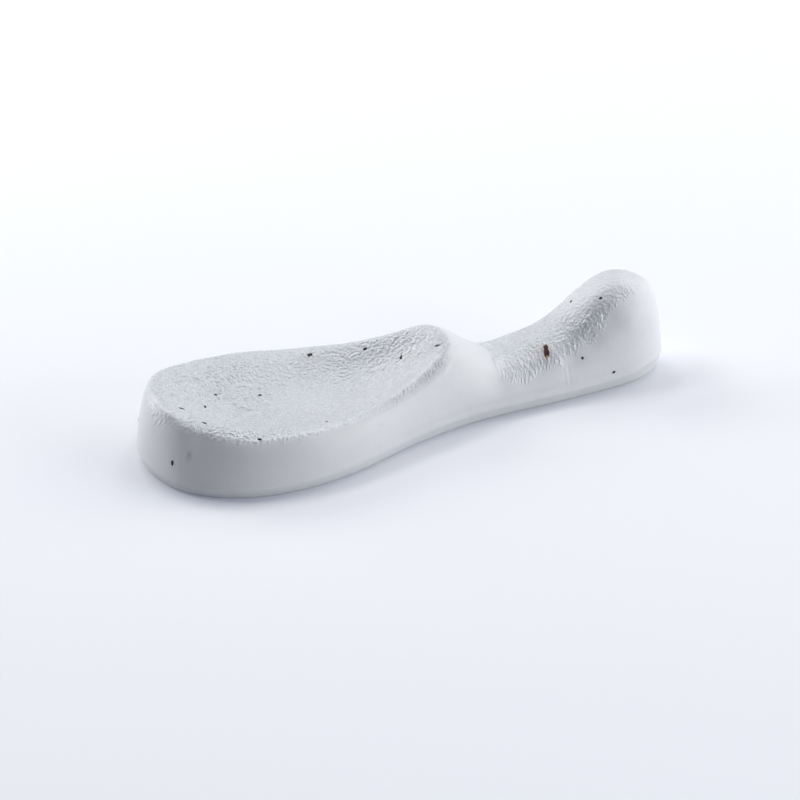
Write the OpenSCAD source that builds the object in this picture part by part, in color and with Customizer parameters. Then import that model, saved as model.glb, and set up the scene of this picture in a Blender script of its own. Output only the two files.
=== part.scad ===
// Chopstick and spoon rest
// One pressed stoneware piece: a shallow oval spoon dish, a raised crest, a low
// waist where the chopsticks lie, and a tall rounded knob at the far end.
// Millimetres. The rest stands on z = 0, centred on x = 0 and y = 0, with the
// dish towards -x and the knob towards +x. It is the same on both sides of y = 0.

/* [Overall size] */
// Overall length, from the dish's end to the knob's end
rest_length = 88; // [84:0.5:92]
// Overall width, across the spoon dish
rest_width = 34; // [32:0.5:36]
// Overall height, at the knob
rest_height = 17; // [16:0.25:18]

/* [Spoon dish] */
// Middle of the dish, along the length
dish_middle = -18; // [-19:0.25:-17]
// Half the dish's length, middle to the crest's lip
dish_reach = 22.5; // [22:0.25:23.5]
// Half the dish's width, at its lip
dish_half_width = 14; // [13.25:0.25:14.5]
// Height of the dish's floor above the table
dish_floor = 5.75; // [5.25:0.25:6.5]
// How far the dish's lip stands above its floor
dish_rise = 7.5; // [7:0.25:8]
// How flat the floor is before it turns up (2 is a bowl, more is flatter)
dish_power = 2.8; // [2.4:0.1:3.2]
// Softness of the lip round the dish's outer end
lip_soft = 3.25; // [2.5:0.25:3.75]
// Softness of the lip at the crest
crest_soft = 2; // [1.5:0.25:3]

/* [Walls and foot] */
// Squareness of the shoulder between the wall and the top (2 is a round)
shoulder_power = 2.4; // [2:0.1:2.6]
// Height of the bevel round the foot
bevel_height = 2; // [1.5:0.25:2.5]
// How far the bevel is cut back at the table
bevel_inset = 0.7; // [0.5:0.1:1.2]
// How much taller the bevel is at the knob's end
knob_bevel_height = 1; // [0:0.25:1.5]
// How much further the bevel is cut back at the knob's end
knob_bevel_inset = 0.3; // [0:0.1:0.6]

/* [Glaze] */
// Thickness of the glaze
glaze_thickness = 0.3; // [0.2:0.05:0.4]
// Height of the glaze's lower edge above the table
glaze_line = 0.25; // [0.2:0.05:0.6]
// How far an iron speck stands proud of the glaze
speck_proud = 0.05; // [0.02:0.01:0.08]
// How deep an iron speck is sunk into the glaze
speck_depth = 0.2; // [0.1:0.05:0.2]

/* [Hidden] */

// Half of the outline, from the dish's end along one side to the knob's end.
// Each row is a guide point of a smooth closed curve: x, half width, and the
// x on the middle line that the surface runs in towards from there.
OUTLINE = [
    [-45.25, 0.00, -24.5], [-43.75, 6.50, -24.0], [-40.75, 12.00, -23.0],
    [-33.0, 16.75, -21.5], [-22.75, 17.50, -18.5], [-13.0, 15.00, -11.5],
    [ -4.25, 11.00, -2.5], [  5.75, 8.50,   7.0], [ 13.75, 8.00,  14.5],
    [ 21.75, 8.00,  22.0], [ 29.75, 7.25,  28.0], [ 36.5,  7.00,  33.0],
    [ 41.75, 4.25,  34.5], [ 44.0,  0.00,  35.0]
];
// Height of the back line every 6 mm from x = -48: rim, dish, crest, waist, knob
BACK = [10, 12.5, 10.75, 9.25, 8.75, 8.75, 9.75, 11.25, 13, 13.75, 7.25, 9, 9.75, 15.25, 18, 14.5, 12.5];
// How much lower the top is at its edges than at its middle, every 8 mm
CROWN = [0.5, 0.75, 0.25, -0.25, 0.75, 2.25, 3, 3, 2.75, 3, 3.75, 4.5, 4.25];
// Half width that the crown is measured over, every 8 mm
SPREAD = [4.5, 11, 15.5, 16, 14.5, 12, 9.5, 8.5, 8.5, 8.5, 8.5, 7, 4];
// How far the wall leans in on its way up, every 8 mm
LEAN = [0.5, 2, 2, 1, 0.25, 0, 0, 0.25, 0.5, 1, 0.75, 0.5, 1];
// How far the shoulder reaches in from the wall, every 8 mm
SHOULDER = [2.25, 1.25, 1, 2.25, 3, 3.25, 4.5, 5.5, 5.25, 5, 3.25, 2, 3];

// Iron specks that reach the surface. Each row: place round the outline (0 is the
// dish's end, 13 the knob's end, 0 to 13 the near side), level (1 to 2 wall and
// shoulder, 2 to 3 top), half width, half length, and turn in degrees.
SPECKS = [
    // dish
    [ 0.70, 2.15, 0.15, 0.35,  50], [25.90, 2.45, 0.15, 0.20,   0], [24.25, 2.50, 0.15, 0.20,  20],
    [22.95, 2.70, 0.15, 0.25,  30], [ 1.80, 2.10, 0.10, 0.30,  10], [ 3.10, 1.95, 0.20, 0.25,   0],
    [21.10, 2.15, 0.25, 0.35,  30], [20.20, 2.15, 0.20, 0.25,   0], [19.85, 2.75, 0.20, 0.30,  60],
    [ 4.30, 2.10, 0.10, 0.20,   0], [ 6.65, 2.50, 0.15, 0.40, 120],
    // waist and knob
    [16.05, 2.60, 0.15, 0.20,  40], [10.40, 2.10, 0.20, 0.25,   0], [ 9.60, 1.35, 0.15, 0.20,  90],
    [10.30, 1.05, 0.20, 0.25,   0],
    // near wall of the dish
    [ 1.35, 1.15, 0.20, 0.45,  90],
    // far wall
    [14.70, 1.45, 0.15, 0.25,  80], [16.90, 1.25, 0.20, 0.20,   0], [18.80, 1.60, 0.15, 0.30,  60],
    [20.60, 1.20, 0.20, 0.40,  90], [22.60, 1.50, 0.15, 0.20,   0], [24.90, 1.15, 0.20, 0.30,  70]
];
// The one large spot, on the waist
SPOT = [8.90, 1.75, 0.35, 1.15, 65];

GUIDES = len(OUTLINE) - 1;
LOOP = 2 * GUIDES;
PER_GUIDE = 4;
COLUMNS = LOOP * PER_GUIDE;
BEVEL_ROWS = 2;
SHOULDER_ROWS = 6;
TOP_ROWS = 9;
SCHEDULE = concat(
    [for (i = [0 : BEVEL_ROWS - 1]) i / BEVEL_ROWS],
    [for (i = [0 : SHOULDER_ROWS - 1]) 1 + i / SHOULDER_ROWS],
    [for (i = [0 : TOP_ROWS]) 2 + i / (TOP_ROWS + 0.5)]
);
ROWS = len(SCHEDULE);

// Weights of a uniform cubic B-spline, t from 0 to 1
function blend(t) = [pow(1 - t, 3), 3 * pow(t, 3) - 6 * t * t + 4, -3 * pow(t, 3) + 3 * t * t + 3 * t + 1, pow(t, 3)] / 6;
function pick(table, i) = table[min(max(i, 0), len(table) - 1)];
// A table read as a smooth curve at x, its entries step apart from x = -48
function curve(table, x, step) =
    let (s = min(max((x + 48) / step, 0), len(table) - 1.001), i = floor(s), b = blend(s - i))
    b[0] * pick(table, i - 1) + b[1] * pick(table, i) + b[2] * pick(table, i + 1) + b[3] * pick(table, i + 2);

// Guide point i of the whole closed outline: the near side is y < 0
function guide(i) =
    let (k = (i + LOOP) % LOOP)
    k <= GUIDES ? [OUTLINE[k][0], -OUTLINE[k][1], OUTLINE[k][2]] : OUTLINE[LOOP - k];
function outline(a) =
    let (i = floor(a), b = blend(a - i))
    b[0] * guide(i - 1) + b[1] * guide(i) + b[2] * guide(i + 1) + b[3] * guide(i + 2);

// The smaller of two heights, blended over k
function soft_min(a, b, k) =
    let (h = min(max(0.5 + 0.5 * (b - a) / k, 0), 1))
    b + (a - b) * h - k * h * (1 - h);
function softness(x) =
    let (t = min(max((x + 20) / 20, 0), 1))
    lip_soft + (crest_soft - lip_soft) * t * t * (3 - 2 * t);
// Height of the top before the shoulder is rounded off
function top_height(x, y) =
    let (
        back = curve(BACK, x, 6) - curve(CROWN, x, 8) * pow(y / curve(SPREAD, x, 8), 2),
        q = pow(pow(abs(x - dish_middle) / dish_reach, 2.2) + pow(abs(y) / dish_half_width, 2.2), 1 / 2.2),
        bowl = dish_floor + dish_rise * pow(q, dish_power)
    )
    soft_min(back, bowl, softness(x));

// A point of the surface at a round the outline and level s:
// 0 to 1 up the bevel, 1 to 2 up the wall and over the shoulder, 2 to 3 across the top
// Share of the knob's taller bevel at x
function knob_share(x) = let (t = min(max((x - 30) / 14, 0), 1)) t * t * (3 - 2 * t);
function bevel_top(x) = bevel_height + knob_bevel_height * knob_share(x);
function inset_at(x, z) = (bevel_inset + knob_bevel_inset * knob_share(x)) * pow(max(1 - z / bevel_top(x), 0), 1.25);
function raw_point(a, s) =
    let (
        g = outline(a), edge = [g[0], g[1]], spine = [g[2], 0],
        run = norm(spine - edge), dir = (spine - edge) / run,
        lean = curve(LEAN, g[0], 8), reach = min(curve(SHOULDER, g[0], 8), 0.9 * run - lean),
        whole = lean + reach, low = bevel_top(g[0])
    )
    s < 1 ?
        let (z = glaze_line + (low - glaze_line) * s, p = edge + dir * inset_at(g[0], z)) [p[0], p[1], z]
    : s < 2 ?
        let (
            t = 90 * (s - 1),
            h = pow(sin(t), 2 / shoulder_power),
            p = edge + dir * (lean * h + reach * (1 - pow(cos(t), 2 / shoulder_power)))
        ) [p[0], p[1], low + (top_height(p[0], p[1]) - low) * h]
    : let (p = edge + dir * (whole + (run - whole) * (s - 2))) [p[0], p[1], top_height(p[0], p[1])];

RAW = [for (i = [0 : COLUMNS - 1]) [for (s = SCHEDULE) raw_point(i / PER_GUIDE, s)]];
LOW_X = min([for (c = RAW) for (p = c) p[0]]);
HIGH_X = max([for (c = RAW) for (p = c) p[0]]);
HIGH_Y = max([for (c = RAW) for (p = c) p[1]]);
HIGH_Z = max([for (c = RAW) for (p = c) p[2]]);
// Brings the surface to the overall size exactly
function sized(p) = [
    (p[0] - (LOW_X + HIGH_X) / 2) * rest_length / (HIGH_X - LOW_X),
    p[1] * rest_width / (2 * HIGH_Y),
    p[2] * rest_height / HIGH_Z
];
OUTER = [for (c = RAW) [for (p = c) sized(p)]];

function unit(v) = v / norm(v);
function column(i) = (i + COLUMNS) % COLUMNS;
// Outward direction of the surface at column i, row j
function outward(i, j) =
    j <= BEVEL_ROWS ?
        let (d = OUTER[column(i + 1)][BEVEL_ROWS] - OUTER[column(i - 1)][BEVEL_ROWS]) unit([d[1], -d[0], 0])
    : unit(cross(
        OUTER[column(i + 1)][j] - OUTER[column(i - 1)][j],
        OUTER[i][min(j + 1, ROWS - 1)] - OUTER[i][j - 1]
    ));
// The clay surface, one glaze thickness inside the glazed surface
INNER = [for (i = [0 : COLUMNS - 1]) [for (j = [0 : ROWS - 1]) OUTER[i][j] - glaze_thickness * outward(i, j)]];
// The bare foot below the glaze, carried down past the table and cut off flat
FOOT = [for (i = [0 : COLUMNS - 1])
    let (p = INNER[i][0], n = outward(i, 0), back = 0.25 * bevel_inset)
    [for (z = [-0.5, 0.12]) [p[0] - n[0] * back * (1 - z), p[1] - n[1] * back * (1 - z), z]]
];

function flat(rows) = [for (r = rows) for (p = r) p];
// Quads between neighbouring columns of a grid with n rows, as triangles; base is
// the first point's number, and turned swaps which way they face
function band(n, base, turned) = [
    for (i = [0 : COLUMNS - 1], j = [0 : n - 2])
        let (a = base + i * n + j, b = base + column(i + 1) * n + j, c = b + 1, d = a + 1)
        for (t = turned ? [[a, b, c], [a, c, d]] : [[a, c, b], [a, d, c]]) t
];
// Closes the long gap along the middle line at row j, from each column to its mirror
function zip(n, j, base, turned) = [
    for (i = [0 : COLUMNS / 2 - 1])
        let (
            a = base + i * n + j, b = base + (i + 1) * n + j,
            c = base + column(COLUMNS - i - 1) * n + j, d = base + column(COLUMNS - i) * n + j,
            quads = i == 0 ? [[a, b, c]] : i == COLUMNS / 2 - 1 ? [[a, b, d]] : [[a, b, c], [a, c, d]]
        )
        for (t = quads) turned ? t : [t[2], t[1], t[0]]
];

module stoneware_body() {
    rows = ROWS + 2;
    grid = [for (i = [0 : COLUMNS - 1]) concat(FOOT[i], INNER[i])];
    color("tan") difference() {
        polyhedron(
            points = flat(grid),
            faces = concat(band(rows, 0, false), zip(rows, rows - 1, 0, false), zip(rows, 0, 0, true))
        );
        translate([-rest_length, -rest_width, -4]) cube([2 * rest_length, 2 * rest_width, 4]);
    }
}

module speck(row) {
    a = row[0]; s = row[1]; w = row[2]; l = row[3];
    p = sized(raw_point(a, s));
    along = unit(sized(raw_point(a + 0.02, s)) - sized(raw_point(a - 0.02, s)));
    up = unit(cross(along, sized(raw_point(a, s + 0.02)) - sized(raw_point(a, s - 0.02))));
    side = cross(up, along);
    u = along * cos(row[4]) + side * sin(row[4]);
    v = side * cos(row[4]) - along * sin(row[4]);
    rim = [for (t = [0 : 36 : 324]) p + u * l * cos(t) + v * w * sin(t)];
    under = [for (t = [0 : 36 : 324]) p + 0.6 * (u * l * cos(t) + v * w * sin(t)) - up * speck_depth];
    hull() polyhedron(
        points = concat(rim, under, [p + up * speck_proud]),
        faces = concat(
            [for (i = [0 : 9]) [20, i, (i + 1) % 10]],
            [for (i = [0 : 9]) [i, 10 + i, 10 + (i + 1) % 10, (i + 1) % 10]],
            [[for (i = [9 : -1 : 0]) 10 + i]]
        )
    );
}

module glaze_coat() {
    count = COLUMNS * ROWS;
    ring = [
        for (i = [0 : COLUMNS - 1])
            let (a = i * ROWS, b = column(i + 1) * ROWS)
            for (t = [[a, b, count + b], [a, count + b, count + a]]) t
    ];
    color("whitesmoke") difference() {
        polyhedron(
            points = concat(flat(OUTER), flat(INNER)),
            faces = concat(
                band(ROWS, 0, false), zip(ROWS, ROWS - 1, 0, false),
                band(ROWS, count, true), zip(ROWS, ROWS - 1, count, true),
                ring
            )
        );
        for (row = SPECKS) speck(row);
        speck(SPOT);
    }
}

module iron_specks() {
    color("black") for (row = SPECKS) speck(row);
}

module rust_spot() {
    color("saddlebrown") speck(SPOT);
}

stoneware_body();
glaze_coat();
iron_specks();
rust_spot();
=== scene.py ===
import math

import bpy
import numpy as np
from mathutils import Matrix, Vector


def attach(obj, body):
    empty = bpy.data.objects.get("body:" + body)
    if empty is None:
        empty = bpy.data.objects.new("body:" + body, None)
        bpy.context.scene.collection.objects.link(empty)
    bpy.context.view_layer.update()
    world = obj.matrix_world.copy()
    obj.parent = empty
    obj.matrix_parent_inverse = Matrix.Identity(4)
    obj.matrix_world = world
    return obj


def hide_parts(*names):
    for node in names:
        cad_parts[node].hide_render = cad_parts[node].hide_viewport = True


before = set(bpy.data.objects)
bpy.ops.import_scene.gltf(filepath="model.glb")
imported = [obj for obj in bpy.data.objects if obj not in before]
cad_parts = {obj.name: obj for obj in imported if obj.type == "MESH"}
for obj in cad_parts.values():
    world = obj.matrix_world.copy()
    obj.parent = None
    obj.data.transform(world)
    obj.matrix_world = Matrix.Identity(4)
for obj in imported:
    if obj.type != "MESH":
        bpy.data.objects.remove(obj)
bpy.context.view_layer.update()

# A glazed stoneware rest for a spoon and a pair of chopsticks. Metres for Blender,
# millimetres inside the surface functions below, which follow the CAD surface.
MM = 0.001

# ----------------------------------------------------------------------------
# The CAD surface: a is the place round the outline (0 the dish's end, 13 the
# knob's end, 0 to 13 the near side), s the level (0 to 1 bevel, 1 to 2 wall and
# shoulder, 2 to 3 across the top to the middle line).
# ----------------------------------------------------------------------------
OUTLINE = np.array([
    [-45.25, 0, -24.5], [-43.75, 6.5, -24.0], [-40.75, 12.0, -23.0], [-33.0, 16.75, -21.5],
    [-22.75, 17.5, -18.5], [-13.0, 15.0, -11.5], [-4.25, 11.0, -2.5], [5.75, 8.5, 7.0],
    [13.75, 8.0, 14.5], [21.75, 8.0, 22.0], [29.75, 7.25, 28.0], [36.5, 7.0, 33.0],
    [41.75, 4.25, 34.5], [44.0, 0, 35.0],
])
BACK = np.array([10, 12.5, 10.75, 9.25, 8.75, 8.75, 9.75, 11.25, 13, 13.75, 7.25, 9, 9.75, 15.25, 18, 14.5, 12.5])
CROWN = np.array([0.5, 0.75, 0.25, -0.25, 0.75, 2.25, 3, 3, 2.75, 3, 3.75, 4.5, 4.25])
SPREAD = np.array([4.5, 11, 15.5, 16, 14.5, 12, 9.5, 8.5, 8.5, 8.5, 8.5, 7, 4])
LEAN = np.array([0.5, 2, 2, 1, 0.25, 0, 0, 0.25, 0.5, 1, 0.75, 0.5, 1])
SHOULDER = np.array([2.25, 1.25, 1, 2.25, 3, 3.25, 4.5, 5.5, 5.25, 5, 3.25, 2, 3])
DISH_X, DISH_R, DISH_W, DISH_FLOOR, DISH_RISE, DISH_POWER = -18.0, 22.5, 14.0, 5.75, 7.5, 2.8
LIP_SOFT, CREST_SOFT, SHOULDER_POWER = 3.25, 2.0, 2.4
BEVEL_H, BEVEL_IN, KNOB_H, KNOB_IN = 2.0, 0.7, 1.0, 0.3
GLAZE_LINE, GLAZE_T = 0.25, 0.3
LOOP = 2 * (len(OUTLINE) - 1)
GUIDES = np.concatenate([OUTLINE * [1, -1, 1], OUTLINE[-2:0:-1]])


def smooth(t):
    t = np.clip(t, 0, 1)
    return t * t * (3 - 2 * t)


def blend(t):
    return np.array([(1 - t) ** 3, 3 * t**3 - 6 * t * t + 4, -3 * t**3 + 3 * t * t + 3 * t + 1, t**3]) / 6


def curve(table, x, step):
    s = np.clip((x + 48) / step, 0, len(table) - 1.001)
    i = np.floor(s).astype(int)
    b = blend(s - i)
    return sum(b[k] * table[np.clip(i + k - 1, 0, len(table) - 1)] for k in range(4))


def outline(a):
    i = np.floor(a).astype(int)
    b = blend(a - i)
    return sum(b[k][..., None] * GUIDES[(i + k - 1) % LOOP] for k in range(4))


def dish_q(x, y):
    return ((np.abs(x - DISH_X) / DISH_R) ** 2.2 + (np.abs(y) / DISH_W) ** 2.2) ** (1 / 2.2)


def top_height(x, y):
    back = curve(BACK, x, 6) - curve(CROWN, x, 8) * (y / curve(SPREAD, x, 8)) ** 2
    bowl = DISH_FLOOR + DISH_RISE * dish_q(x, y) ** DISH_POWER
    k = LIP_SOFT + (CREST_SOFT - LIP_SOFT) * smooth((x + 20) / 20)
    h = np.clip(0.5 + 0.5 * (bowl - back) / k, 0, 1)
    return bowl + (back - bowl) * h - k * h * (1 - h)


def knob_share(x):
    return smooth((x - 30) / 14)


def bevel_top(x):
    return BEVEL_H + KNOB_H * knob_share(x)


def raw_point(a, s):
    a, s = np.broadcast_arrays(np.asarray(a, float), np.asarray(s, float))
    g = outline(a % LOOP)
    edge, spine = g[..., :2], np.stack([g[..., 2], 0 * g[..., 2]], -1)
    d = spine - edge
    run = np.linalg.norm(d, axis=-1)
    d = d / run[..., None]
    lean = curve(LEAN, g[..., 0], 8)
    reach = np.minimum(curve(SHOULDER, g[..., 0], 8), 0.9 * run - lean)
    whole = lean + reach
    low = bevel_top(g[..., 0])
    z1 = GLAZE_LINE + (low - GLAZE_LINE) * s
    inset = (BEVEL_IN + KNOB_IN * knob_share(g[..., 0])) * np.maximum(1 - z1 / low, 0) ** 1.25
    p1 = edge + d * inset[..., None]
    t = np.pi / 2 * np.clip(s - 1, 0, 1)
    h = np.sin(t) ** (2 / SHOULDER_POWER)
    p2 = edge + d * (lean * h + reach * (1 - np.cos(t) ** (2 / SHOULDER_POWER)))[..., None]
    z2 = low + (top_height(p2[..., 0], p2[..., 1]) - low) * h
    p3 = edge + d * (whole + (run - whole) * (s - 2))[..., None]
    z3 = top_height(p3[..., 0], p3[..., 1])
    lo, mid = s < 1, (s >= 1) & (s < 2)
    p = np.where(lo[..., None], p1, np.where(mid[..., None], p2, p3))
    z = np.where(lo, z1, np.where(mid, z2, z3))
    return np.concatenate([p, z[..., None]], -1)


_rows = np.concatenate([np.arange(2) / 2, 1 + np.arange(6) / 6, 2 + np.arange(10) / 9.5])
_coarse = raw_point((np.arange(LOOP * 4) / 4)[:, None], _rows[None])
_low_x, _high_x = _coarse[..., 0].min(), _coarse[..., 0].max()
SIZE = np.array([88 / (_high_x - _low_x), 34 / (2 * _coarse[..., 1].max()), 17 / _coarse[..., 2].max()])
SHIFT = np.array([(_low_x + _high_x) / 2, 0, 0])


def point(a, s):
    """The CAD's glazed surface, in millimetres."""
    return (raw_point(a, s) - SHIFT) * SIZE


def normal(a, s):
    """Its outward direction, worked out a little way to each side."""
    e = 2e-3
    s = np.asarray(s, float)
    up = np.where((s > 1) & (s < 1 + e), s + e, s + 0.5 * e)
    down = np.where((s > 1) & (s < 1 + e), np.maximum(s, 1), np.maximum(s - 0.5 * e, 0))
    n = np.cross(point(a + e, s) - point(a - e, s), point(a, up) - point(a, down))
    return n / np.maximum(np.linalg.norm(n, axis=-1, keepdims=True), 1e-12)


# ----------------------------------------------------------------------------
# Relief of the glaze. Every part of it goes inwards, so the piece never leaves
# the CAD model's box.
# ----------------------------------------------------------------------------
def waves(x, y, short, long, count, seed):
    """Even, seeded noise with wavelengths from short to long, about -2 to 2."""
    rng = np.random.RandomState(seed)
    wave = np.exp(rng.uniform(math.log(short), math.log(long), count))
    turn = rng.uniform(0, 2 * math.pi, count)
    phase = rng.uniform(0, 2 * math.pi, count)
    total = np.zeros(np.broadcast(x, y).shape)
    for w, t, f in zip(wave, turn, phase):
        total += np.cos((x * math.cos(t) + y * math.sin(t)) * (2 * math.pi / w) + f)
    return total * math.sqrt(2 / count)


# Level where the wrinkled glaze gives way to the smooth wall, round the outline
EDGE_DISH = np.array([
    [0, 1.45], [0.4, 1.45], [0.6, 1.45], [0.72, 1.45], [0.8, 1.46], [0.95, 1.52], [1.2, 1.62], [1.4, 1.62],
    [1.6, 1.60], [1.8, 1.58], [2.15, 1.56], [2.4, 1.56], [2.85, 1.62],
    [3.1, 1.68], [3.7, 1.70], [4.15, 1.79], [5.0, 1.80], [5.3, 1.75], [5.6, 1.70], [5.95, 1.665], [6.2, 1.66],
    [6.45, 1.675], [6.6, 1.73], [6.74, 1.86], [6.9, 1.93], [7.2, 1.95],
])
# The groove and the bead along the crest's near rim: place, and mm above the lip's line
GROOVE = np.array([
    [4.2, -0.3], [4.95, -0.75], [5.2, -1.0], [5.4, -1.25], [5.64, -1.6], [5.95, -1.9], [6.2, -2.0], [6.41, -2.0],
    [6.57, -1.5], [6.74, 0.2], [7.3, 0.2],
])
BEAD = np.array([
    [4.2, -1.2], [5.2, -1.6], [5.44, -1.85], [5.73, -2.3], [5.97, -2.65], [6.21, -3.0], [6.45, -3.25], [6.62, -3.2],
    [6.8, -2.2], [7.3, -1.8],
])
EDGE_WAIST = np.array([
    [7.2, 1.50], [7.8, 1.48], [8.3, 1.33], [8.8, 1.46], [9.15, 1.45], [9.65, 1.44], [9.95, 1.42],
    [10.3, 1.56], [10.7, 1.70], [11.2, 1.78], [11.5, 1.88], [12.2, 2.0], [13, 2.0],
])

# Millimetres round the outline from the dish's end, and up each column from the table
_half = np.linspace(0, LOOP / 2, 2601)
_lip = point(_half, 1.9)
ROUND = np.concatenate([[0], np.cumsum(np.linalg.norm(np.diff(_lip, axis=0), axis=1))])
_ga, _gs = np.linspace(0, LOOP / 2, 261), np.linspace(0, 3, 301)
_grid = point(_ga[:, None], np.minimum(_gs, 2.9999)[None])
UP = np.concatenate([np.zeros((261, 1)), np.cumsum(np.linalg.norm(np.diff(_grid, axis=1), axis=2), axis=1)], axis=1)
LIP_UP = np.interp(_half, _ga, UP[:, 198])


def _softened():
    """The outward directions of the near half, each the mean over 1.4 mm up and down its column."""
    n = normal(_ga[:, None], np.minimum(_gs, 2.9999)[None])
    soft = np.empty_like(n)
    for i in range(261):
        u = UP[i]
        fine = np.linspace(0, u[-1], 400)
        column = np.stack([np.interp(fine, u, n[i, :, k]) for k in range(3)], -1)
        total = np.concatenate([np.zeros((1, 3)), np.cumsum(column, axis=0)])
        span = 1.4 / fine[1]
        k = np.arange(400)
        low, high = np.clip(k - span, 0, 400).astype(int), np.clip(k + span + 1, 0, 400).astype(int)
        mean = (total[high] - total[low]) / np.maximum(high - low, 1)[:, None]
        soft[i] = np.stack([np.interp(u, fine, mean[:, c]) for c in range(3)], -1)
    return soft / np.linalg.norm(soft, axis=-1, keepdims=True)


SOFT = _softened()


def soft_normal(a, s):
    """The outward direction without the tight bends, so that swells never fold over."""
    a, s = np.broadcast_arrays(np.asarray(a, float), np.asarray(s, float))
    whole = a % LOOP
    half = np.minimum(whole, LOOP - whole)
    i, j = np.clip(half * 20, 0, 259.999), np.clip(s * 100, 0, 299.999)
    i0, j0 = i.astype(int), j.astype(int)
    f, g = (i - i0)[..., None], (j - j0)[..., None]
    n = (SOFT[i0, j0] * (1 - g) + SOFT[i0, j0 + 1] * g) * (1 - f) + (SOFT[i0 + 1, j0] * (1 - g) + SOFT[i0 + 1, j0 + 1] * g) * f
    n = n * np.where(whole > LOOP / 2, -1.0, 1.0)[..., None] ** np.array([0, 1, 0])
    return n / np.linalg.norm(n, axis=-1, keepdims=True)


def round_and_up(a, s):
    a, s = np.broadcast_arrays(a, s)
    half = np.minimum(a % LOOP, LOOP - a % LOOP)
    i, j = np.clip(half * 20, 0, 259.999), np.clip(s * 100, 0, 299.999)
    i0, j0 = i.astype(int), j.astype(int)
    f, g = i - i0, j - j0
    up = (UP[i0, j0] * (1 - g) + UP[i0, j0 + 1] * g) * (1 - f) + (UP[i0 + 1, j0] * (1 - g) + UP[i0 + 1, j0 + 1] * g) * f
    return np.interp(half, _half, ROUND), up


def streaks(x, y, z, short, long, spread, count, seed):
    """Seeded noise whose crests run along y, within spread radians."""
    rng = np.random.RandomState(seed)
    total = np.zeros(np.broadcast(x, y).shape)
    for _ in range(count):
        w = math.exp(rng.uniform(math.log(short), math.log(long)))
        t, f, k = rng.uniform(-spread, spread), rng.uniform(0, 2 * math.pi), rng.uniform(-0.5, 0.5)
        total += np.cos((x * math.cos(t) + y * math.sin(t) + k * z) * (2 * math.pi / w) + f)
    return total * math.sqrt(2 / count)


# Hand-pressed swells and hollows: place, level, radius, and mm outwards
SWELLS = [
    [2.10, 1.30, 3.0, -0.40], [2.10, 1.60, 2.8, -0.40], [2.60, 1.40, 2.6, -0.15],
    [8.00, 1.50, 2.5, 0.30], [8.60, 1.85, 2.0, -0.20], [9.00, 1.60, 2.0, 0.32], [9.40, 1.40, 2.0, -0.15],
    [9.45, 1.90, 2.2, -0.35], [9.80, 2.15, 2.4, -0.18], [9.85, 1.50, 2.2, -0.30], [10.30, 1.60, 2.3, -0.30],
    [10.95, 1.85, 2.3, -0.25], [10.90, 2.10, 2.2, -0.05], [11.00, 1.40, 2.5, 0.22],
    [11.70, 1.40, 2.4, 0.22], [11.80, 2.15, 2.3, -0.32],
]


def rounding(along, reach, core):
    """Takes a bend away from one place and spreads it over reach to both sides."""
    return np.maximum(1 - np.sqrt(along ** 2 + core ** 2) / reach, 0) ** 2


def near_crest(half, y):
    return smooth((half - 4.2) / 1.0) * smooth((7.1 - half) / 0.5) * smooth(-y / 2 + 0.6)


def swell(a, s, p):
    """How far the clay and its glaze stand out from the CAD surface there, in mm."""
    half = np.minimum(a % LOOP, LOOP - a % LOOP) + 0 * s
    out = np.zeros(p.shape[:-1])
    for place, level, radius, mm in SWELLS:
        out += mm * np.exp(-((p - point(np.array(place), np.array(level))) ** 2).sum(-1) / radius ** 2)
    # the lip rolls over softly on the near side of the dish's end
    lip_up = round_and_up(a, s)[1] - np.interp(half, _half, LIP_UP)
    roll = smooth((half - 0.7) / 1.0) * smooth((4.2 - half) / 1.8) * smooth(-p[..., 1] / 2)
    out -= 0.75 * roll * rounding(lip_up + 0.15, 3.0, 0.3)
    # and so does the knob's shoulder
    out -= 0.46 * smooth((half - 9.3) / 0.8) * rounding(lip_up + 0.5, 2.6, 0.6)
    # the crest's near rim: a shallow groove inside, a soft bead outside
    crest = near_crest(half, p[..., 1])
    out += crest * (0.17 * np.exp(-(((lip_up - np.interp(half, *BEAD.T)) / 0.7) ** 2)) - 0.15 * np.exp(-(((lip_up - np.interp(half, *GROOVE.T)) / 0.7) ** 2)))
    return out * smooth((p[..., 2] - 0.3) / 2.0)


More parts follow.
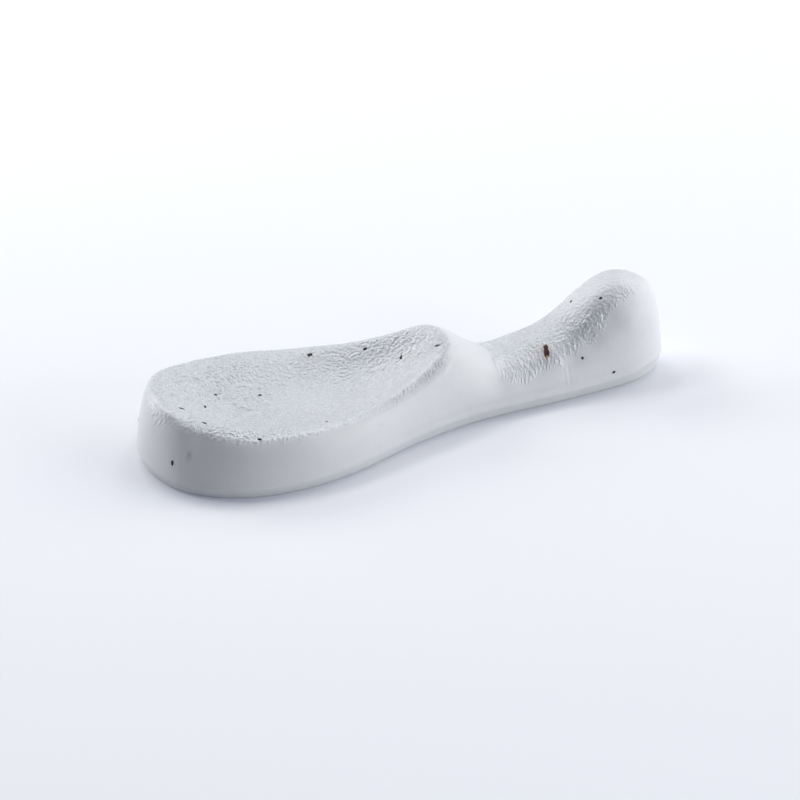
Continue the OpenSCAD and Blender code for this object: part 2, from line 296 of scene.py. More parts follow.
def relief(a, s, p):
    """Depth inwards in mm, wrinkle height 0 to 1, and share of wrinkled glaze 0 to 1."""
    x, y, z = p[..., 0], p[..., 1], p[..., 2]
    half = np.minimum(a % LOOP, LOOP - a % LOOP)
    round_, up = round_and_up(a, s)
    # short worm-like wrinkles, seen from above
    wx = x + 0.16 * waves(x, y, 1.6, 3.0, 12, 11)
    wy = y + 0.16 * waves(x, y, 1.6, 3.0, 12, 12)
    worm = 0.88 * waves(wx, wy, 0.52, 0.84, 80, 13) + 0.48 * waves(wx, wy, 0.42, 0.56, 60, 14)
    # steep faces: the same, measured round and up the wall
    steep = waves(round_ + 0.16 * waves(x, y, 1.6, 3.0, 12, 24), 0.75 * up - 0.5 * np.abs(y) + 0.16 * waves(x, y, 1.6, 3.0, 12, 26), 0.42, 0.75, 80, 25)
    # ridges that run down over the shoulders
    comb = streaks(round_ - 0.22 * up + 0.08 * waves(x, y, 2.5, 5.0, 10, 21), up, y, 0.44, 0.70, 0.42, 70, 22)
    # long lines that run along the waist's top
    lines = streaks(wy + 0.10 * (x - 15) * np.clip(np.abs(y), 0, 4) / 4, wx, 0 * x, 0.50, 0.85, 0.8, 60, 23)
    # broader and softer along the dish's near left lip
    wide = streaks(round_ - 0.22 * up + 0.12 * waves(x, y, 2.5, 5.0, 10, 31), up, y, 0.75, 1.20, 0.60, 50, 32)
    on_waist = smooth((x - 9.0) / 1.5)
    on_knob = smooth((x - 24) / 4)
    on_lip = (1 - on_waist) * smooth((2.05 - s) / 0.14)
    left_end_lip = on_lip * smooth((3.8 - half) / 0.8)
    left_lip = left_end_lip * smooth((half - 1.2) / 0.7)
    comb = np.where(left_lip > 0, (comb * (1 - 0.8 * left_lip) + wide * 0.8 * left_lip) / np.sqrt((1 - 0.8 * left_lip) ** 2 + (0.8 * left_lip) ** 2), comb)
    combed = (0.35 + 0.20 * left_lip) * on_lip + on_waist * (1 - 0.75 * smooth((x - 20.5) / 3)) * smooth((1.92 - s) / 0.22)
    sloped = (0.65 - 0.25 * left_lip) * on_lip + on_waist * smooth((2.05 - s) / 0.3) * (1 - combed)
    lined = 0.6 * on_waist * (1 - combed - sloped) * smooth((30 - x) / 8)
    rest = np.maximum(1 - combed - sloped - lined, 0)
    mixed = comb * combed + steep * sloped + lines * lined + worm * rest
    mixed = mixed / np.sqrt(combed ** 2 + sloped ** 2 + lined ** 2 + rest ** 2)
    height = 0.5 + 0.5 * np.tanh((0.85 + 0.4 * combed) * mixed)
    # where the glaze is wrinkled
    ragged = 0.035 * waves(half * 8, 0 * x, 1.5, 5.0, 12, 15) + 0.10 * (height - 0.5)
    in_dish = smooth((s - np.interp(half, *EDGE_DISH.T) + ragged) / (0.11 + 0.05 * smooth((3.4 - half) / 0.6))) * smooth(((1.10 + 0.08 * smooth((-y - 5) / 3) - dish_q(x, y)) * 22.5 + 6 * ragged) / 0.9 + 20 * smooth((-4 - x) / 4))
    in_waist = smooth((s - np.interp(half, *EDGE_WAIST.T) + ragged) / 0.13) * smooth((x - 11.8 - 0.012 * y * y + 6 * ragged + 0.4 * waves(x, y, 2.0, 4.5, 10, 33)) / 2.8) * smooth((40.5 - x + 6 * ragged) / 2)
    share = np.where(x < 9.2, in_dish, in_waist) * (1 - 0.45 * on_knob * rest)
    share = share * (1 - 0.5 * on_lip * smooth((1.5 - half) / 0.5))
    crest = smooth((x + 1) / 6) * (1 - on_waist)
    left_end = smooth((-18 - x) / 14) * (1 - on_lip)
    depth = 0.096 + 0.015 * left_end_lip + 0.03 * left_lip + 0.075 * crest + 0.11 * left_end - 0.03 * on_waist * combed + 0.055 * sloped * on_knob - 0.032 * on_knob * rest
    depth = depth + 0.012 * waves(x, y, 6, 12, 8, 16)
    inward = share * depth * (1 - height)
    # hand-made unevenness
    inward += 0.03 * (1 + np.clip(waves(x + 0.6 * z, y - 0.4 * z, 9, 20, 10, 17) / 2, -1, 1))
    inward += 0.005 * (1 + np.clip(waves(x + 0.7 * z, y + 0.5 * z, 1.8, 3.5, 16, 18) / 2, -1, 1))
    # a soft bead of glaze along the top of the bevel, stronger towards the knob
    over = z - bevel_top(x)
    bead = (0.3 + 0.7 * smooth((x + 10) / 16)) * (s < 2)
    inward += bead * (0.13 * np.exp(-(((over - 0.95) / 0.45) ** 2)) + 0.11 * np.exp(-(((over + 0.7) / 0.45) ** 2)))
    inward += 0.11 * smooth((x - 20) / 6) * (s < 2) * np.exp(-(((over - 3.3) / 0.8) ** 2))
    # a drip mark on the near wall below the waist
    mark = smooth((s - 1.04) / 0.06) * smooth((1.42 - s) / 0.1) * (y < 0)
    inward += 0.05 * mark * (np.exp(-(((x - 24.55) / 0.16) ** 2)) + 0.6 * np.exp(-(((x - 23.75) / 0.2) ** 2)))
    # the glaze rolls in at its lower edge
    inward += 0.11 * np.clip(1 - (z - GLAZE_LINE) / 0.4, 0, 1) ** 2
    # never through to the clay
    inward = np.where(inward > 0.2, 0.2 + 0.07 * np.tanh((inward - 0.2) / 0.07), inward)
    return inward, height, share, combed + 0.5 * sloped


def surface(a, s):
    p, n = point(a, s), normal(a, s)
    d, height, share, combed = relief(a, s, p)
    return p + soft_normal(a, s) * swell(a, s, p)[..., None] - n * d[..., None], n, height, share, combed


# ----------------------------------------------------------------------------
# Meshes
# ----------------------------------------------------------------------------
def place_columns(count):
    """Places round the outline, evenly spaced along the lip, the same on both sides."""
    half = np.interp(np.linspace(0, ROUND[-1], count // 2 + 1), ROUND, _half)
    return np.concatenate([half, LOOP - half[-2:0:-1]])


def place_rows(a, count, wall_weight, gap):
    """Levels up each column, evenly spaced, wider apart on the smooth wall."""
    top = 3 - gap / np.maximum(np.linalg.norm(point(a, 2.0)[:, :2] - point(a, 2.9999)[:, :2], axis=1), 1e-3)
    t = np.concatenate([np.linspace(0, 0.2, 21)[:-1], np.linspace(0.2, 1, 41)[:-1], np.linspace(1, 2, 161)[:-1], np.linspace(2, 3, 161)])
    s = np.minimum(t[None], top[:, None])
    p = point(a[:, None], s)
    step = np.linalg.norm(np.diff(p, axis=1), axis=2)
    mid = 0.5 * (s[:, 1:] + s[:, :-1])
    weight = wall_weight + (1 - wall_weight) * smooth((mid - 1.3) / 0.15)
    over = 0.5 * (p[:, 1:, 2] + p[:, :-1, 2]) - bevel_top(p[:, 1:, 0])
    near_bead = smooth((over + 1.1) / 0.3) * smooth((1.9 - over) / 0.3) * (mid < 1.6)
    weight = np.maximum(weight, 0.62 * near_bead)
    weight = np.where(mid < 0.16, 0.9, weight)
    run = np.concatenate([np.zeros((len(a), 1)), np.cumsum(step * weight, axis=1)], axis=1)
    return np.array([np.interp(np.linspace(0, r[-1], count), r, q) for r, q in zip(run, s)])


def band(columns, rows, base, turned=False):
    i, j = np.meshgrid(np.arange(columns), np.arange(rows - 1), indexing="ij")
    a, b = base + i * rows + j, base + ((i + 1) % columns) * rows + j
    q = np.stack([a, b, b + 1, a + 1], -1).reshape(-1, 4)
    return (q[:, ::-1] if turned else q).tolist()


def zipped(columns, rows, j, base, turned=False):
    faces = []
    for i in range(columns // 2):
        ring = [base + i * rows + j, base + (i + 1) * rows + j, base + (columns - i - 1) * rows + j, base + ((columns - i) % columns) * rows + j]
        ring = [v for k, v in enumerate(ring) if v not in ring[:k]]
        faces.append(ring[::-1] if turned else ring)
    return faces


def make(name, verts, faces, attributes=None):
    mesh = bpy.data.meshes.new(name)
    mesh.from_pydata((np.asarray(verts) * MM).tolist(), [], faces)
    mesh.validate()
    mesh.polygons.foreach_set("use_smooth", np.ones(len(mesh.polygons), bool))
    for key, values in (attributes or {}).items():
        layer = mesh.attributes.new(key, "FLOAT", "POINT")
        layer.data.foreach_set("value", np.asarray(values, np.float32).ravel())
    mesh.update()
    piece = bpy.data.objects.new(name, mesh)
    bpy.context.scene.collection.objects.link(piece)
    return piece


COLUMNS, ROWS = 1120, 82
A = place_columns(COLUMNS)
S = place_rows(A, ROWS, 0.26, 0.08)
OUTER, _, HEIGHT, SHARE, COMBED = surface(A[:, None], S)

# Specks: place, level, half width, half length, turn. The same as the CAD's.
SPECKS = [
    [0.70, 2.15, 0.15, 0.35, 50], [25.90, 2.45, 0.15, 0.20, 0], [24.25, 2.50, 0.15, 0.20, 20],
    [22.95, 2.70, 0.15, 0.25, 30], [1.80, 2.10, 0.10, 0.30, 10], [3.10, 1.95, 0.20, 0.25, 0],
    [21.10, 2.15, 0.25, 0.35, 30], [20.20, 2.15, 0.20, 0.25, 0], [19.85, 2.75, 0.20, 0.30, 60],
    [4.30, 2.10, 0.10, 0.20, 0], [6.65, 2.50, 0.15, 0.40, 120],
    [16.05, 2.60, 0.15, 0.20, 40], [10.40, 2.10, 0.17, 0.21, 0], [9.60, 1.35, 0.15, 0.20, 90],
    [10.30, 1.05, 0.17, 0.21, 0],
    [1.35, 1.15, 0.20, 0.33, 90],
    [14.70, 1.45, 0.15, 0.25, 80], [16.90, 1.25, 0.20, 0.20, 0], [18.80, 1.60, 0.15, 0.30, 60],
    [20.60, 1.20, 0.20, 0.40, 90], [22.60, 1.50, 0.15, 0.20, 0], [24.90, 1.15, 0.20, 0.30, 70],
]
SPOT = [8.90, 1.75, 0.35, 1.15, 65]
# Iron that stayed under the glaze: place, level, radius, strength
BURIED = [
    [1.79, 1.28, 0.52, 0.42], [0.92, 1.26, 0.22, 0.22], [1.88, 1.14, 0.25, 0.18], [2.60, 1.40, 0.25, 0.10],
    [5.30, 1.45, 0.30, 0.10], [11.20, 1.30, 0.30, 0.14], [8.10, 2.30, 0.30, 0.16], [3.60, 2.60, 0.35, 0.14],
    [14.20, 1.30, 0.35, 0.16], [17.40, 1.40, 0.30, 0.14], [19.90, 1.40, 0.40, 0.18], [22.00, 1.30, 0.35, 0.16],
    [24.20, 1.35, 0.45, 0.20], [25.40, 1.50, 0.25, 0.14], [21.50, 2.60, 0.30, 0.14], [12.60, 1.40, 0.30, 0.12],
]


def near_specks(p):
    """Rust round each speck, and the grey of iron under the glaze, 0 to 1, at points p."""
    rust, grey = np.zeros(p.shape[:-1]), np.zeros(p.shape[:-1])
    for a, s, w, l, turn in SPECKS + [SPOT]:
        c = point(np.array(a), np.array(s))
        d = np.linalg.norm(p - c, axis=-1)
        r = 0.5 * (w + l)
        rust = np.maximum(rust, np.exp(-((d / (r + 0.12)) ** 2)) * min(1, 0.35 + r))
    for a, s, r, strength in BURIED:
        d = np.linalg.norm(p - point(np.array(a), np.array(s)), axis=-1)
        grey = np.maximum(grey, strength * np.exp(-((d / r) ** 4)))
    return rust, grey


def inner(a, s, depth):
    """The glaze's inner side, which is the clay's surface. Level with the table below the bevel's top, as the CAD's."""
    p, n = point(a, s), normal(a, s)
    flat = point(a, 1.0 + 0 * s)
    e = 2e-3
    along = point(a + e, 1.0 + 0 * s) - point(a - e, 1.0 + 0 * s)
    side = np.stack([along[..., 1], -along[..., 0], 0 * along[..., 0]], -1)
    side = side / np.linalg.norm(side, axis=-1, keepdims=True)
    w = smooth((s - 1.0) / 0.1)[..., None]
    n2 = side * (1 - w) + n * w
    return p + soft_normal(a, s) * swell(a, s, p)[..., None] - depth * n2 / np.linalg.norm(n2, axis=-1, keepdims=True)


def glaze_piece():
    few, low_rows = COLUMNS // 4, 26
    a_in = A[::4]
    s_in = place_rows(a_in, low_rows, 0.6, 0.5)
    inside = inner(a_in[:, None], s_in, GLAZE_T)
    verts = np.concatenate([OUTER.reshape(-1, 3), inside.reshape(-1, 3)])
    base = COLUMNS * ROWS
    faces = band(COLUMNS, ROWS, 0) + zipped(COLUMNS, ROWS, ROWS - 1, 0)
    faces += band(few, low_rows, base, True) + zipped(few, low_rows, low_rows - 1, base, True)
    for i in range(COLUMNS):  # round the lower edge, four outer columns to one inner
        o1, o2 = i * ROWS, ((i + 1) % COLUMNS) * ROWS
        k = ((i + 2) // 4) % few
        faces.append([o2, o1, base + k * low_rows])
        if i % 4 == 1:
            faces.append([o2, base + k * low_rows, base + ((k + 1) % few) * low_rows])
    rust, grey = near_specks(OUTER)
    pad = np.zeros(inside.shape[0] * inside.shape[1])
    join = lambda v, fill=0: np.concatenate([np.asarray(v).ravel(), pad + fill])
    round_, up = round_and_up(A[:, None], S)
    return make("glaze", verts, faces, {
        "wrinkle": join(HEIGHT, 0.5), "wrinkled": join(SHARE * (1 + 0.45 * smooth((-16 - OUTER[..., 0]) / 14) * (S > 2))), "rust": join(rust), "buried": join(np.minimum(1.7 * grey, 1)),
        "round": join(round_), "up": join(up), "combed": join(COMBED),
        "groove": join(near_crest(np.minimum(A, LOOP - A)[:, None], OUTER[..., 1]) * np.exp(-(((up - np.interp(np.minimum(A, LOOP - A), _half, LIP_UP)[:, None] - np.interp(np.minimum(A, LOOP - A), *GROOVE.T)[:, None]) / 0.7) ** 2))),
        # painted shade on the wall at the dish's near corner and along the dish's end below the lip
        "painted_corner_shade": join(np.exp(-(((A - 1.75) / 0.8) ** 2))[:, None] * smooth((1.85 - S) / 0.25) + 1.4 * np.exp(-(((np.minimum(A, LOOP - A) - 0.4) / 0.45) ** 2))[:, None] * np.exp(-(((S - 1.82) / 0.22) ** 2))),
        # painted shade on the downward-facing bevel
        "below": join(smooth((bevel_top(OUTER[..., 0]) + 0.05 - OUTER[..., 2]) / 0.3) * (S < 1.2)),
    })


def clay_piece():
    columns, rows = 560, 34
    a = A[::2]
    s = place_rows(a, rows, 0.6, 0.4)
    top = inner(a[:, None], s, GLAZE_T + 0.004)
    edge = top[:, 0]
    e = 2e-3
    along = point(a + e, 1.0 + 0 * a) - point(a - e, 1.0 + 0 * a)
    side = np.stack([along[:, 1], -along[:, 0], 0 * a], -1)
    side = side / np.linalg.norm(side, axis=-1, keepdims=True)
    # the bare foot: a short step in under the glaze, then a small round edge
    steps = [(0.21, 0.02), (0.17, 0.05), (0.13, 0.08), (0.09, 0.12), (0.05, 0.17), (0.022, 0.23), (0.005, 0.30), (0.0, 0.38)]
    foot = []
    for z, back in steps:
        ring = edge - side * back
        ring[:, 2] = z
        foot.append(ring)
    # the underside, in towards the middle line
    spine = outline(a % LOOP)[:, 2]
    middle = np.stack([(spine - SHIFT[0]) * SIZE[0], 0 * a, 0 * a], -1)
    for t in 1 - (1 - np.linspace(0, 1, 45)[1:]) ** 1.15 * 1.0:
        t = min(t, 0.99)
        foot.append(foot[len(steps) - 1] * (1 - t) + middle * t)
    foot = np.array(foot)[::-1].transpose(1, 0, 2)
    n_foot = foot.shape[1]
    under = foot[..., 2] < 1e-6
    grit = np.clip(0.5 + 0.35 * waves(foot[..., 0], foot[..., 1], 0.5, 1.6, 60, 31) + 0.25 * waves(foot[..., 0], foot[..., 1], 3, 9, 16, 32), 0, 1.6)
    foot[..., 2] += np.where(under, 0.022 * grit, 0)
    verts = np.concatenate([foot, top], axis=1)
    total = n_foot + rows
    faces = band(columns, total, 0) + zipped(columns, total, total - 1, 0) + zipped(columns, total, 0, 0, True)
    return make("clay", verts.reshape(-1, 3), faces, {"grit": np.concatenate([grit, np.full((columns, rows), 0.5)], axis=1)})


def speck_base(a, s):
    """Where a speck rests: on the glaze, but not down in its valleys."""
    p, n = point(a, s), normal(a, s)
    d = relief(a, s, p)[0]
    return p + soft_normal(a, s) * swell(a, s, p)[..., None] - n * np.minimum(d, 0.09)[..., None], n


def lens(a, s, w, l, turn, seed, rings=7, spokes=28, proud=0.06, deep=0.20, lobes=0.0, slide=0.0):
    """One speck: a closed, uneven lens that follows the glaze and stands a little proud of it."""
    rng = np.random.RandomState(seed)
    a, s = float(a), float(s)
    e = 0.004
    da = (point(np.array(a + e), np.array(s)) - point(np.array(a - e), np.array(s))) / (2 * e)
    ds = (point(np.array(a), np.array(s + e)) - point(np.array(a), np.array(s - e))) / (2 * e)
    n = normal(np.array(a), np.array(s))
    u = da / np.linalg.norm(da)
    v = np.cross(n, u)
    c, k = math.cos(math.radians(turn)), math.sin(math.radians(turn))
    along, across = u * c + v * k, v * c - u * k
    frame3 = np.stack([da, ds], 1)
    t = np.linspace(0, 2 * math.pi, spokes, endpoint=False)
    f = rng.uniform(0, 2 * math.pi, 5)
    rim = 1.42 - 0.12 * (lobes > 0) + 0.06 * np.sin(2 * t + f[0]) + 0.05 * np.sin(3 * t + f[1]) + 0.035 * np.sin(5 * t + f[2]) + 0.02 * np.sin(8 * t + f[3])
    wide = 1 + lobes * (0.22 * np.sin(2 * np.cos(t)) - 0.34 * np.exp(-(((np.cos(t) - 0.40) / 0.16) ** 2)) - 0.50 * smooth((-0.40 - np.cos(t)) / 0.3))
    r = np.linspace(0, 1, rings + 1)[1:]
    flat = (rim * np.cos(t))[None, :, None] * r[:, None, None] * l * along + (rim * wide * np.sin(t))[None, :, None] * r[:, None, None] * w * across + slide * along * r[:, None, None]
    back = lambda v: np.linalg.lstsq(frame3, v.reshape(-1, 3).T, rcond=None)[0].T.reshape(flat.shape[:2] + (2,))
    solve = back(flat)
    for _ in range(4):  # the surface bends, so the places are corrected a few times
        got = point(a + solve[..., 0], s + solve[..., 1]) - point(np.array(a), np.array(s))
        solve = solve + 0.6 * back(flat - got)
    base, nn = speck_base(a + solve[..., 0], s + solve[..., 1])
    bump = 1 + 0.25 * np.sin(3 * t + f[4])[None, :] * r[:, None]
    lift = proud * (1 - r[:, None] ** 2.6) * bump - 0.015 * r[:, None] ** 6
    top = base + nn * lift[..., None]
    centre, nc = speck_base(np.array([a]), np.array([s]))
    apex = centre + nc * proud
    under = base[::2][::-1] - nn[::2][::-1] * (deep * (1 - 0.35 * r[::2][::-1, None] ** 2))[..., None]
    rows = np.concatenate([top, under])
    verts = np.concatenate([apex, rows.reshape(-1, 3), centre - nc * deep])
    faces = [[0, 1 + i, 1 + (i + 1) % spokes] for i in range(spokes)]
    count = rows.shape[0]
    for j in range(count - 1):
        for i in range(spokes):
            p, q = 1 + j * spokes + i, 1 + j * spokes + (i + 1) % spokes
            faces.append([p, p + spokes, q + spokes, q])
    last = 1 + (count - 1) * spokes
    faces += [[len(verts) - 1, last + (i + 1) % spokes, last + i] for i in range(spokes)]
    edge = np.concatenate([[0], np.repeat(r, spokes), np.repeat(r[::2][::-1], spokes), [0]])
    upward = np.concatenate([[0], (r[:, None] * np.cos(t)).ravel(), (r[::2][::-1, None] * np.cos(t)).ravel(), [0]])
    return verts, faces, edge, upward


def speck_piece(name, rows, seed, **k):
    verts, faces, edges, upward = [], [], [], []
    for i, row in enumerate(rows):
        v, f, e, u = lens(*row, seed=seed + i, **k)
        faces += [[x + sum(len(q) for q in verts) for x in face] for face in f]
        verts.append(v)
        edges.append(e)
        upward.append(u)
    return make(name, np.concatenate(verts), faces, {"rim": np.concatenate(edges), "upward": np.concatenate(upward)})


# ----------------------------------------------------------------------------
# Materials
# ----------------------------------------------------------------------------
class Nodes:
    """A short hand for one material's nodes."""

    def __init__(self, name):
        self.material = bpy.data.materials.new(name)
        self.material.use_nodes = True
        self.tree = self.material.node_tree
        self.tree.nodes.clear()
        self.out = self.tree.nodes.new("ShaderNodeOutputMaterial")
        self.shader = self.tree.nodes.new("ShaderNodeBsdfPrincipled")
        self.tree.links.new(self.shader.outputs[0], self.out.inputs[0])
        self.where = self.tree.nodes.new("ShaderNodeTexCoord").outputs["Object"]

    def link(self, value, socket):
        if isinstance(value, bpy.types.NodeSocket):
            self.tree.links.new(value, socket)
        elif hasattr(value, "__len__") and len(value) == 3 and socket.type == "RGBA":
            socket.default_value = (*value, 1)
        else:
            socket.default_value = value

    def attribute(self, name):
        n = self.tree.nodes.new("ShaderNodeAttribute")
        n.attribute_name = name
        return n.outputs["Fac"]

    def noise(self, wavelength, detail=2.0, rough=0.5, stretch=None, distortion=0.0):
        n = self.tree.nodes.new("ShaderNodeTexNoise")
        n.inputs["Scale"].default_value = 1 / (wavelength * MM)
        n.inputs["Detail"].default_value = detail
        n.inputs["Roughness"].default_value = rough
        n.inputs["Distortion"].default_value = distortion
        where = self.where
        if stretch:
            m = self.tree.nodes.new("ShaderNodeMapping")
            m.inputs["Scale"].default_value = stretch
            self.tree.links.new(where, m.inputs["Vector"])
            where = m.outputs[0]
        self.tree.links.new(where, n.inputs["Vector"])
        return n.outputs["Fac"]

    def cells(self, wavelength, feature="F1"):
        n = self.tree.nodes.new("ShaderNodeTexVoronoi")
        n.feature = feature
        n.inputs["Scale"].default_value = 1 / (wavelength * MM)
        self.tree.links.new(self.where, n.inputs["Vector"])
        return n.outputs["Distance"]

    def join(self, x, y, z):
        n = self.tree.nodes.new("ShaderNodeCombineXYZ")
        for v, socket in zip((x, y, z), n.inputs):
            self.link(v, socket)
        return n.outputs[0]

    def bumps(self, wavelength, vector=None, detail=1.5):
        """Small rounded bumps about a wavelength apart, 0 to 1."""
        n = self.tree.nodes.new("ShaderNodeTexNoise")
        n.inputs["Scale"].default_value = 1 / wavelength if vector is not None else 1 / (wavelength * MM)
        n.inputs["Detail"].default_value = detail
        n.inputs["Roughness"].default_value = 0.55
        self.tree.links.new(vector if vector is not None else self.where, n.inputs["Vector"])
        return self.span(n.outputs["Fac"], 0.25, 0.75)

    def math(self, kind, *values):
        n = self.tree.nodes.new("ShaderNodeMath")
        n.operation = kind
        for v, socket in zip(values, n.inputs):
            self.link(v, socket)
        return n.outputs[0]

    def span(self, value, low, high, to_low=0.0, to_high=1.0):
        n = self.tree.nodes.new("ShaderNodeMapRange")
        n.interpolation_type = "SMOOTHSTEP"
        for v, key in ((value, "Value"), (low, "From Min"), (high, "From Max"), (to_low, "To Min"), (to_high, "To Max")):
            self.link(v, n.inputs[key])
        return n.outputs[0]

    def mix(self, share, first, second, kind="MIX"):
        n = self.tree.nodes.new("ShaderNodeMix")
        n.data_type = "RGBA"
        n.blend_type = kind
        self.link(share, n.inputs["Factor"])
        self.link(first, n.inputs["A"] if n.inputs["A"].type == "RGBA" else n.inputs[6])
        self.link(second, n.inputs["B"] if n.inputs["B"].type == "RGBA" else n.inputs[7])
        return n.outputs[2]

    def bump(self, height, distance, strength=1.0, after=None):
        n = self.tree.nodes.new("ShaderNodeBump")
        n.inputs["Strength"].default_value = strength
        n.inputs["Distance"].default_value = distance * MM
        self.link(height, n.inputs["Height"])
        if after is not None:
            self.tree.links.new(after, n.inputs["Normal"])
        return n.outputs[0]

    def set(self, **values):
        for key, value in values.items():
            self.link(value, self.shader.inputs[key.replace("_", " ")])


def glaze_material():
    m = Nodes("glaze_white_satin")
    wrinkle, wrinkled = m.attribute("wrinkle"), m.attribute("wrinkled")
    rust, buried = m.attribute("rust"), m.attribute("buried")
    # fine winding ridges between the modelled ones, drawn out down the shoulders
    combed = m.attribute("combed")
    down = m.bumps(0.55, m.join(m.attribute("round"), m.math("MULTIPLY", m.attribute("up"), 0.40), 0.0))
    fine = m.math("ADD", m.math("MULTIPLY", m.bumps(0.50), m.math("SUBTRACT", 1.0, combed)), m.math("MULTIPLY", down, combed))
    # colour: thin over the ridges, greyer in the valleys: partly pooled glaze, partly painted shade in the valleys
    relief_ = m.math("ADD", m.math("MULTIPLY", wrinkle, 0.6), m.math("MULTIPLY", fine, 0.4))
    pooling_and_shade = m.math("MULTIPLY", wrinkled, m.math("SUBTRACT", 1.0, relief_))
    colour = m.mix(m.noise(7.0, 3, 0.55), (0.600, 0.612, 0.632), (0.628, 0.638, 0.655))
    colour = m.mix(m.span(m.noise(1.6, 3, 0.6), 0.45, 0.75, 0.0, 0.30), colour, (0.575, 0.591, 0.617))
    # painted shade in the wrinkle valleys, partly pooled glaze
    colour = m.mix(m.math("MULTIPLY", pooling_and_shade, 0.40), colour, (0.450, 0.480, 0.530))
    # painted shade in the groove along the crest's near rim, partly pooled glaze
    groove = m.math("MULTIPLY", m.attribute("groove"), m.span(relief_, 0.15, 0.75, 1.0, 0.25))
    colour = m.mix(m.math("MULTIPLY", groove, 0.50), colour, (0.400, 0.420, 0.455))
    # painted shade: greyer on the wall at the dish's near corner and along the dish's end below the lip
    colour = m.mix(m.math("MULTIPLY", m.attribute("painted_corner_shade"), 0.20), colour, (0.40, 0.415, 0.450))
    # painted shade on the downward-facing bevel
    colour = m.mix(m.math("MULTIPLY", m.attribute("below"), 0.28), colour, (0.48, 0.495, 0.515))
    # fine grey pepper
    pepper = m.math("MULTIPLY", m.span(m.cells(0.55), 0.16, 0.05), m.span(m.noise(2.3, 1), 0.56, 0.66))
    colour = m.mix(m.math("MULTIPLY", pepper, 0.04), colour, (0.38, 0.37, 0.36))
    # iron under the glaze, and rust round the specks
    mottle = m.noise(0.28, 3, 0.65)
    grey = m.math("MULTIPLY", buried, m.span(mottle, 0.25, 0.6, 0.55, 1.0))
    colour = m.mix(grey, colour, (0.24, 0.245, 0.27))
    halo = m.math("MULTIPLY", m.math("POWER", rust, 1.5), m.span(mottle, 0.3, 0.65, 0.25, 0.9))
    colour = m.mix(halo, colour, (0.50, 0.33, 0.17))
    shiny = m.math("MULTIPLY", wrinkled, m.math("ADD", m.math("MULTIPLY", relief_, 0.26), 0.20))
    rough = m.math("SUBTRACT", m.span(m.noise(1.1, 3, 0.6), 0.3, 0.7, 0.48, 0.56), shiny)
    # fine skin: tiny bubbles and pin marks, and faint brush marks down the walls
    pins = m.math("MULTIPLY", m.span(m.cells(0.9), 0.0, 0.12), m.math("SUBTRACT", 0.35, m.math("MULTIPLY", wrinkled, 0.35)))
    skin = m.math("ADD", m.noise(0.32, 2, 0.5), pins)
    runs = m.noise(0.9, 2, 0.5, stretch=(1.0, 1.0, 0.12))
    normal_ = m.bump(m.math("MULTIPLY", fine, wrinkled), 0.13)
    normal_ = m.bump(m.math("MULTIPLY", skin, m.math("ADD", m.math("MULTIPLY", wrinkled, 0.6), 0.4)), 0.035, 1.0, normal_)
    normal_ = m.bump(runs, 0.02, 0.6, normal_)
    m.set(Base_Color=colour, Roughness=rough, IOR=1.5, Normal=normal_)
    return m.material


def clay_material():
    m = Nodes("clay_bare")
    grain = m.noise(0.35, 4, 0.7)
    colour = m.mix(m.noise(3.0, 4, 0.6), (0.60, 0.56, 0.50), (0.68, 0.64, 0.58))
    colour = m.mix(m.span(grain, 0.35, 0.7), colour, (0.52, 0.475, 0.415))
    dark = m.math("MULTIPLY", m.span(m.cells(0.8), 0.14, 0.05), m.span(m.noise(2.0, 1), 0.5, 0.62))
    colour = m.mix(m.math("MULTIPLY", dark, 0.7), colour, (0.20, 0.13, 0.085))
    rough = m.span(grain, 0.3, 0.7, 0.80, 0.94)
    bumped = m.bump(m.math("ADD", grain, m.math("MULTIPLY", m.attribute("grit"), 0.2)), 0.05, 0.8)
    m.set(Base_Color=colour, Roughness=rough, IOR=1.45, Normal=bumped)
    return m.material


def iron_material(name, dark, brown, edge, amount, tail=None):
    m = Nodes(name)
    rim = m.attribute("rim")
    colour = m.mix(m.span(m.noise(0.16, 3, 0.6), 0.38, 0.62), dark, brown)
    if tail:  # dark at the upper end, purple-brown in the middle, rust yellow at the lower tip
        upward = m.math("ADD", m.attribute("upward"), m.math("MULTIPLY", m.math("SUBTRACT", m.noise(0.25, 2), 0.5), 0.35))
        colour = m.mix(m.span(upward, 0.25, 0.42), brown, colour)
        colour = m.mix(m.span(upward, -0.38, -0.58), colour, tail)
    colour = m.mix(m.math("MULTIPLY", m.span(rim, 0.55, 1.0), amount), colour, edge)
    rough = m.span(m.noise(0.12, 2, 0.5), 0.3, 0.7, 0.45, 0.62)
    m.set(Base_Color=colour, Roughness=rough, IOR=1.36, Normal=m.bump(m.noise(0.12, 2, 0.5), 0.02, 0.7))
    return m.material


def dress(piece, material, node):
    piece.data.materials.clear()
    piece.data.materials.append(material)
    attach(piece, "root")
    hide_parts(node)
    return piece


dress(glaze_piece(), glaze_material(), "glaze_coat")
dress(clay_piece(), clay_material(), "stoneware_body")
dress(
    speck_piece("specks", SPECKS, 100),
    iron_material("iron_dark", (0.010, 0.008, 0.008), (0.024, 0.015, 0.011), (0.07, 0.045, 0.03), 0.35),
    "iron_specks",
)
dress(
    speck_piece("large_rust_spot", [SPOT], 200, rings=14, spokes=48, lobes=1.0, slide=-0.30, proud=0.08),
    iron_material("iron_rust", (0.022, 0.011, 0.006), (0.045, 0.012, 0.022), (0.20, 0.10, 0.04), 0.35, (0.46, 0.31, 0.16)),
    "rust_spot",
)

# ----------------------------------------------------------------------------
# Floor, light and camera
# ----------------------------------------------------------------------------
scene = bpy.context.scene
scene.view_settings.view_transform = "Standard"
scene.view_settings.look = "None"


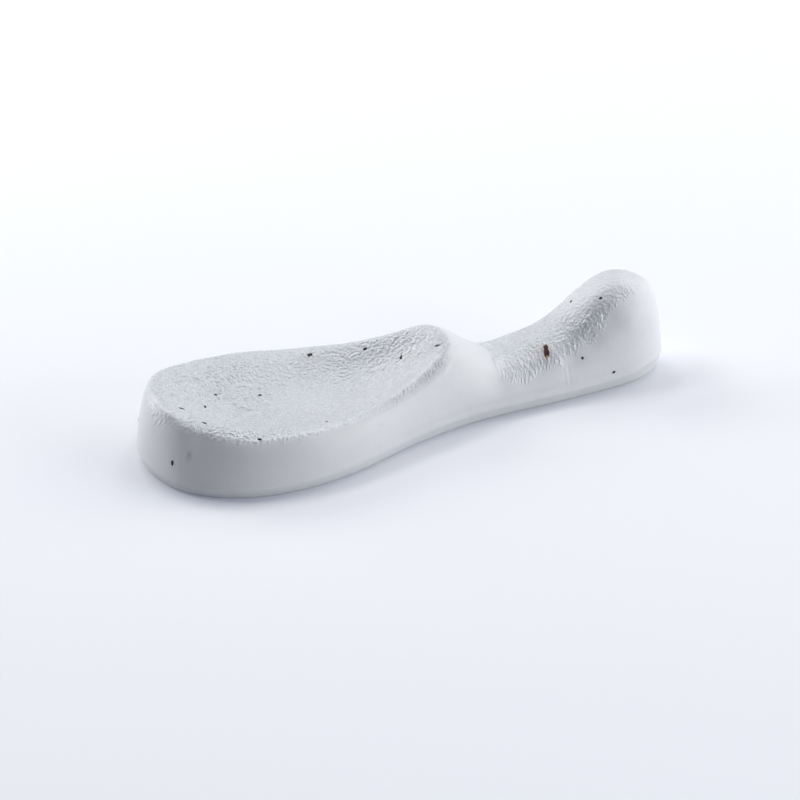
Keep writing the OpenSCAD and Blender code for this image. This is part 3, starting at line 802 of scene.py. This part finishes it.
def floor_piece():
    mesh = bpy.data.meshes.new("floor")
    r = 3.0
    mesh.from_pydata([(-r, -r, 0), (r, -r, 0), (r, r, 0), (-r, r, 0)], [], [(0, 1, 2, 3)])
    piece = bpy.data.objects.new("floor", mesh)
    scene.collection.objects.link(piece)
    m = Nodes("floor_white")
    m.set(Base_Color=m.mix(m.noise(300, 2), (0.62, 0.62, 0.62), (0.63, 0.63, 0.63)), Roughness=0.9)
    m.shader.inputs["Emission Color"].default_value = (0.67, 0.73, 1.0, 1)
    m.shader.inputs["Emission Strength"].default_value = 0.175
    mesh.materials.append(m.material)
    return piece


FLOOR = floor_piece()

world = bpy.data.worlds.new("studio")
scene.world = world
world.use_nodes = True
world.node_tree.nodes["Background"].inputs["Color"].default_value = (1, 1, 1, 1)
world.node_tree.nodes["Background"].inputs["Strength"].default_value = 0.0


def softbox(name, azimuth, elevation, distance, width, height, power, colour=(1, 1, 1)):
    """An area light that looks at the piece. Azimuth 0 is the near side, 90 the knob's end."""
    light = bpy.data.lights.new(name, "AREA")
    light.shape = "RECTANGLE"
    light.size, light.size_y = width, height
    light.energy = power
    light.color = colour
    o = bpy.data.objects.new(name, light)
    scene.collection.objects.link(o)
    az, el = math.radians(azimuth), math.radians(elevation)
    o.location = Vector((math.sin(az) * math.cos(el), -math.cos(az) * math.cos(el), math.sin(el))) * distance
    o.rotation_mode = "QUATERNION"
    o.rotation_quaternion = (-o.location).to_track_quat("-Z", "Y")
    return o


# Soft boxes 0.7 m away: azimuth, elevation, edge, power, colour
for name, azimuth, elevation, edge, power, colour in [
    ("right_front_low", 45, 8, 0.42, 3.38, (0.98, 0.97, 0.93)),
    ("right_low", 90, 8, 0.42, 1.25, (0.98, 0.98, 1.0)),
    ("back_low", 180, 8, 0.42, 0.15, (0.80, 0.80, 1.0)),
    ("back_left_low", 225, 8, 0.42, 3.15, (0.98, 0.98, 1.0)),
    ("right_front", 45, 34, 0.36, 0.72, (0.66, 0.77, 1.0)),
    ("right", 90, 34, 0.36, 1.18, (1.0, 0.97, 0.88)),
    ("back_right", 135, 34, 0.36, 0.50, (0.78, 0.81, 1.0)),
    ("back", 180, 34, 0.16, 0.40, (1.0, 0.99, 0.92)),
    ("back_left", 205, 36, 0.24, 1.32, (0.97, 0.98, 1.0)),
    ("back_left_high", 238, 52, 0.20, 1.10, (0.97, 0.98, 1.0)),
    ("top_right", 60, 62, 0.32, 0.20, (0.60, 0.65, 1.0)),
    ("top_back_right", 120, 62, 0.32, 1.42, (0.98, 0.99, 0.97)),
    ("top_back", 180, 62, 0.16, 0.96, (0.95, 0.98, 1.0)),
]:
    softbox(name, azimuth, elevation, 0.7, edge, edge, power, colour)


def camera():
    az, el, roll = math.radians(-21.489), math.radians(28.390), math.radians(-1.409)
    target = Vector((-1.486, 0.0, 2.476)) * MM
    back = Vector((math.sin(az) * math.cos(el), -math.cos(az) * math.cos(el), math.sin(el)))
    right = Vector((math.cos(az), math.sin(az), 0))
    up = back.cross(right)
    right2 = right * math.cos(roll) + up * math.sin(roll)
    up2 = -right * math.sin(roll) + up * math.cos(roll)
    data = bpy.data.cameras.new("photo_camera")
    data.sensor_fit = "HORIZONTAL"
    data.sensor_width = 36.0
    data.lens = 2547.09 / 800 * 36.0
    data.clip_start, data.clip_end = 0.01, 20.0
    o = bpy.data.objects.new("photo_camera", data)
    scene.collection.objects.link(o)
    o.matrix_world = Matrix((
        (right2.x, up2.x, back.x, 0), (right2.y, up2.y, back.y, 0), (right2.z, up2.z, back.z, 0), (0, 0, 0, 1),
    ))
    o.location = target + back * 0.4
    return o


scene.camera = camera()
bpy.context.view_layer.update()
